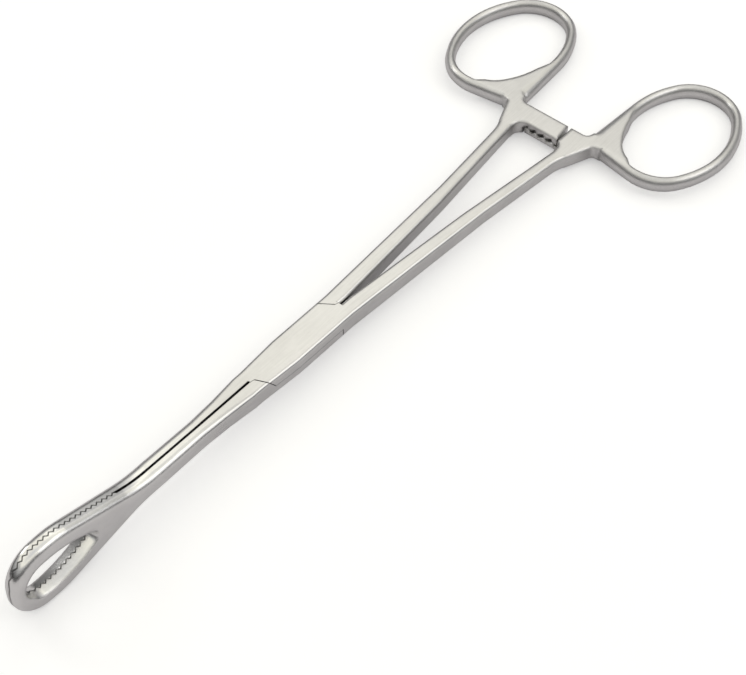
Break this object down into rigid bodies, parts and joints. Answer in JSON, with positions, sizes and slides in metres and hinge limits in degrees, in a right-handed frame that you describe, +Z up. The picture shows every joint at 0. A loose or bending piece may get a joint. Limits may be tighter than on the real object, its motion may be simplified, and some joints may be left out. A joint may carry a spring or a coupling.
{
  "type": "sponge forceps",
  "caption": "Ring-handled sponge forceps with a lap joint, oval fenestrated jaws with cross serrations, and an interlocking ratchet between the finger rings.",
  "frame": {"origin": "middle of the bounding box at its underside, where the jaw loops and the finger rings touch the table", "axes": "+X along the instrument from the jaws towards the finger rings, +Z up through the flat of the rings, +Y towards the ring of the half whose lap lies underneath"},
  "size_m": [0.24, 0.0884, 0.0202],
  "materials": {
    "upper_half_steel": "satin",
    "lower_half_steel": "satin",
    "rivet_steel": "satin"
  },
  "bodies": {
    "upper_half": {"upper_lap_half": "upper_half_steel", "pivot_rivet": "rivet_steel"},
    "lower_half": {"lower_lap_half": "lower_half_steel"}
  },
  "joints": [
    {"name": "lap_pivot", "type": "hinge", "parent": "upper_half", "child": "lower_half", "pos_m": [-0.02607, 0, 0.01012], "axis": [0, 0, 1], "range_deg": [0, 45]}
  ]
}
